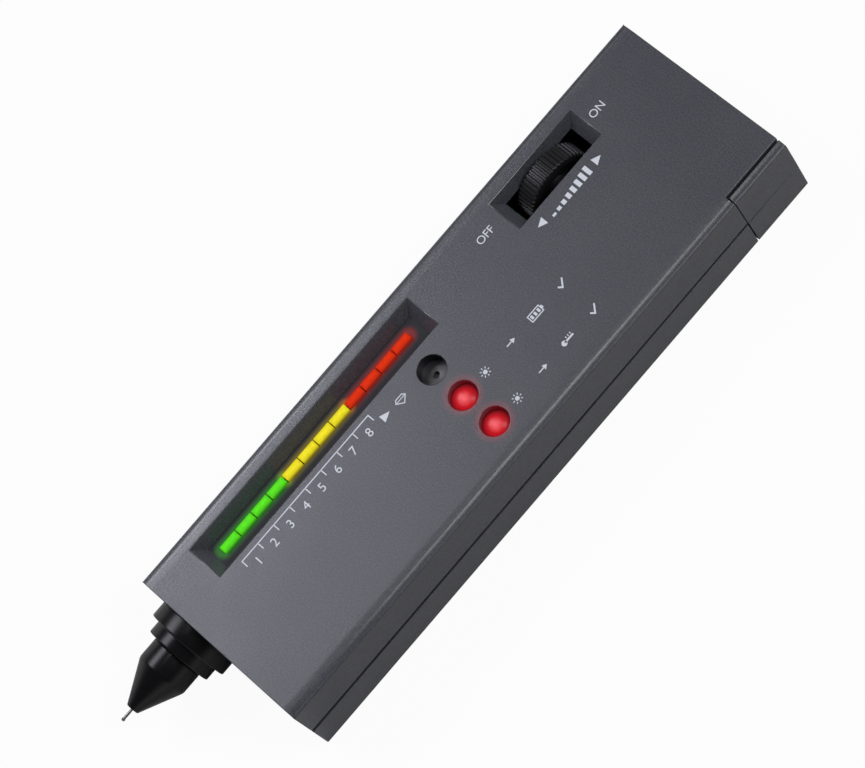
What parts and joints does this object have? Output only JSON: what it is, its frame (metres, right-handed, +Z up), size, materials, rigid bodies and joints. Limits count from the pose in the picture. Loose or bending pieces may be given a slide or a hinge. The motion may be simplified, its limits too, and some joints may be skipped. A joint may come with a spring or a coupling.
{
  "type": "diamond tester",
  "caption": "Handheld thermal diamond tester: flat case with a stepped probe nose and needle, sloping light-bar window, lamps, ribbed thumbwheel and a battery door at the far end.",
  "frame": {"origin": "bottom centre of the whole tester's box, on the surface that its back lies on", "axes": "+Z up out of the display face, -Y along the probe axis towards the needle tip, +Y towards the battery door, +X towards the side away from the light bar"},
  "size_m": [0.0448, 0.1704, 0.0208],
  "materials": {
    "case_plastic": "charcoal moulded plastic with a fine spark-eroded texture",
    "nose_plastic": "gloss black moulded plastic",
    "wheel_plastic": "black moulded plastic with straight ribs",
    "mask_plastic": "black moulded plastic",
    "light_green": "lit translucent lens",
    "light_yellow": "lit translucent lens",
    "light_red": "lit translucent lens",
    "lamp_red": "lit red lamp dome",
    "buzzer_plastic": "black moulded plastic",
    "needle_steel": "polished steel",
    "core_brass": "turned brass",
    "heater_ceramic": "fired ceramic",
    "guide_plastic": "heat-resistant moulded plastic",
    "spring_steel": "drawn wire",
    "screw_steel": "zinc plated",
    "board_laminate": "green solder mask on laminate",
    "chip_plastic": "moulded epoxy",
    "resistor_coat": "lacquered",
    "capacitor_sleeve": "shrunk sleeve",
    "trimmer_plastic": "moulded plastic",
    "pot_can": "blackened metal can",
    "battery_jacket": "plain lacquered metal jacket",
    "contact_nickel": "nickel plated",
    "snap_vinyl": "moulded vinyl",
    "lead_vinyl": "vinyl insulation"
  },
  "bodies": {
    "case": {"upper_shell": "case_plastic", "lower_shell": "case_plastic", "case_screws": "screw_steel", "nose_collar": "nose_plastic", "nose_cone": "nose_plastic", "probe_guide": "guide_plastic", "probe_leads": "lead_vinyl", "probe_spring": "spring_steel", "circuit_board": "board_laminate", "board_screws": "screw_steel", "bar_mask": "mask_plastic", "bar_green": "light_green", "bar_yellow": "light_yellow", "bar_red": "light_red", "battery_lamp": "lamp_red", "ready_lamp": "lamp_red", "buzzer": "buzzer_plastic", "driver_chips": "chip_plastic", "resistors": "resistor_coat", "capacitors": "capacitor_sleeve", "trimmers": "trimmer_plastic", "potentiometer": "pot_can", "battery_block": "battery_jacket", "battery_studs": "contact_nickel", "battery_snap": "snap_vinyl", "snap_contacts": "contact_nickel", "snap_leads": "lead_vinyl"},
    "probe": {"probe_needle": "needle_steel", "probe_core": "core_brass", "probe_heater": "heater_ceramic"},
    "wheel": {"thumbwheel": "wheel_plastic", "wheel_screw": "screw_steel", "pot_shaft": "core_brass"},
    "door": {"battery_door": "case_plastic"}
  },
  "joints": [
    {"name": "probe_press", "type": "slide", "parent": "case", "child": "probe", "axis": [0, 1, 0], "range_m": [0, 0.0015], "stiffness_N_per_m": 200, "springref_m": -0.003, "deforming": ["probe_spring"]},
    {"name": "wheel_turn", "type": "hinge", "parent": "case", "child": "wheel", "pos_m": [-0.01443, 0.05255, 0.0124], "axis": [1, 0, 0], "range_deg": [-150, 150]},
    {"name": "door_slide", "type": "slide", "parent": "case", "child": "door", "axis": [0, 1, 0], "range_m": [0, 0.03]}
  ]
}
